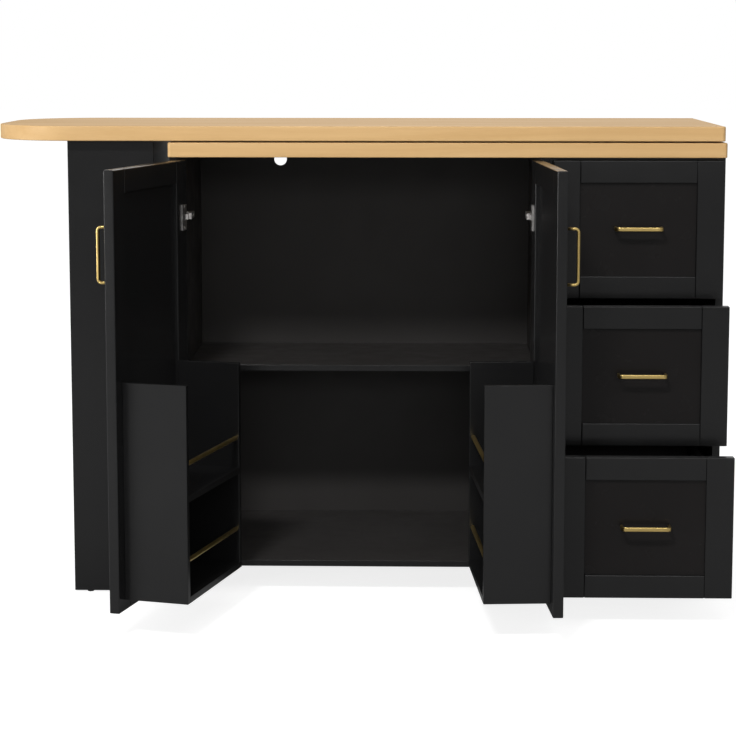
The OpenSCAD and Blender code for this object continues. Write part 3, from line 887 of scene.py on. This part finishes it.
arm_spots = []
for lo, hi in solids("hinge_arms"):
    inward = middle((lo, hi)).x < bay_middle
    face_x = hi.x if inward else lo.x
    for back in ARM_SETBACKS:
        arm_spots.append((Vector((face_x, hi.y - back, middle((lo, hi)).z)),
                          RIGHT if inward else LEFT))
set_parts("arm_screw_heads", screw_head("arm_screw", ARM_HEAD_R, LOW_HEAD_H, LOW_SUNK),
          arm_spots, "cabinet", [], nickel, seed=17)

# %% [markdown]
# ## Floor, background and light
# The photograph is a studio picture on white. The floor is a large pale sheet. To the
# camera it shows bright white, while its plain diffuse part still takes the soft shadow
# of the object. The world does the same: white where it is seen, much gentler where it
# lights and where it is mirrored, or the black paint would turn grey. The key lamp stands
# high in front on the left and reaches the back of the cupboard under the worktop. A wide
# strip beside it draws the pale lines on level edges. A large fill far to the left lights
# what faces left and leaves what faces right dark. Three weak lamps are left: one from
# the front, one overhead and one behind.

# %% Floor and world
WHITE_GLOW, FLOOR_GREY, ROOM_LIGHT, FLOOR_REACH = 0.82, 0.45, 0.45, 30


def seen_directly(tree):
    """One where the camera looks, also through a hole or glass, and nought elsewhere."""
    seen = add(tree, "ShaderNodeLightPath").outputs
    return maths(tree, "MAXIMUM", seen["Is Camera Ray"], seen["Is Transmission Ray"])


def floor_material():
    """White to the camera, plain grey to the light that falls on it."""
    material = bpy.data.materials.new("white_floor")
    material.use_nodes = True
    tree = material.node_tree
    tree.nodes.clear()
    matt = add(tree, "ShaderNodeBsdfDiffuse", {"Color": (FLOOR_GREY, FLOOR_GREY, FLOOR_GREY, 1)})
    power = maths(tree, "MULTIPLY", seen_directly(tree), WHITE_GLOW)
    glow = add(tree, "ShaderNodeEmission", {"Color": (1, 1, 1, 1), "Strength": power})
    both = add(tree, "ShaderNodeAddShader", {0: matt.outputs[0], 1: glow.outputs[0]})
    add(tree, "ShaderNodeOutputMaterial", {"Surface": both.outputs[0]})
    return material


bm = bmesh.new()
bmesh.ops.create_grid(bm, x_segments=2, y_segments=2, size=FLOOR_REACH)
floor = shown("floor", as_mesh(bm, "floor"))
floor.data.materials.append(floor_material())
floor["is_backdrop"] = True

world = bpy.data.worlds.new("white_room")
world.use_nodes = True
scene.world = world
tree = world.node_tree
strength = add(tree, "ShaderNodeMapRange", {
    "Value": seen_directly(tree), "To Min": ROOM_LIGHT, "To Max": 1.0})
tree.nodes["Background"].inputs["Color"].default_value = (1, 1, 1, 1)
tree.links.new(strength.outputs[0], tree.nodes["Background"].inputs["Strength"])
print("floor and world ready")

# %% Lamps
def lamp(name, place, target, size, power):
    """A rectangular lamp that looks at a target and doesn't show in the picture."""
    light = bpy.data.lights.new(name, "AREA")
    light.shape = "RECTANGLE"
    light.size, light.size_y = size
    light.energy = power
    holder = bpy.data.objects.new(name, light)
    scene.collection.objects.link(holder)
    holder.location = place
    holder.visible_camera = False
    holder.rotation_euler = (Vector(target) - Vector(place)).to_track_quat("-Z", "Y").to_euler()


lamp("key", (-0.95, -3.68, 3.95), (0, 0, 0.45), (0.8, 0.4), 104)
lamp("strip", (0.15, -3.30, 3.7), (0, 0, 0.6), (3.2, 0.3), 29)
lamp("front_fill", (0.7, -6.4, 2.1), (0, 0, 0.6), (2.6, 0.8), 31)
lamp("left_fill", (-9.7, -5.2, 1.35), (0, 0, 0.6), (4.4, 2.7), 680)
lamp("overhead", (0.1, -0.3, 3.4), (0, 0, 0.9), (1.6, 0.8), 8)
lamp("rim", (0.1, 4.2, 2.5), (0, 0, 0.9), (3.0, 0.8), 20)
print("lamps ready")

# %% [markdown]
# ## Camera
# The photograph was taken from the front, a little above the table top, through a long
# lens. Its place was found by fitting the corners of the model to the same corners in
# the picture. The uprights in it are parallel, which takes a shifted lens. The shift is
# kept small, since every other view has it too, and the camera looks slightly down.

# %% Camera
EYE = Vector((0.1145, -3.9285, 1.0648))
YAW, PITCH = math.radians(-1.340), math.radians(6.958)
FOCAL_PX, IMAGE_PX, SENSOR_MM, SHIFT = 2033.3, 736, 36.0, -0.10
camera = bpy.data.objects.new("camera", bpy.data.cameras.new("camera"))
scene.collection.objects.link(camera)
camera.data.sensor_width = SENSOR_MM
camera.data.lens = FOCAL_PX / IMAGE_PX * SENSOR_MM
camera.data.shift_y = SHIFT
camera.location = EYE
camera.rotation_euler = (math.pi / 2 - PITCH, 0, -YAW)
scene.camera = camera
scene.view_settings.view_transform = "Standard"
print("lens", round(camera.data.lens, 1), "mm")

# %% [markdown]
# ## Last look at the size
# The box of the dressed model is set against the box of the CAD model, and the
# difference is printed in millimetres. The dressed model has to stay inside the box of
# the CAD model.

# %% Compare and finish
new_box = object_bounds()
change = [[round(1000 * c, 2) for c in new - old] for new, old in zip(new_box, cad_box)]
print("visual minus CAD, mm:", change)
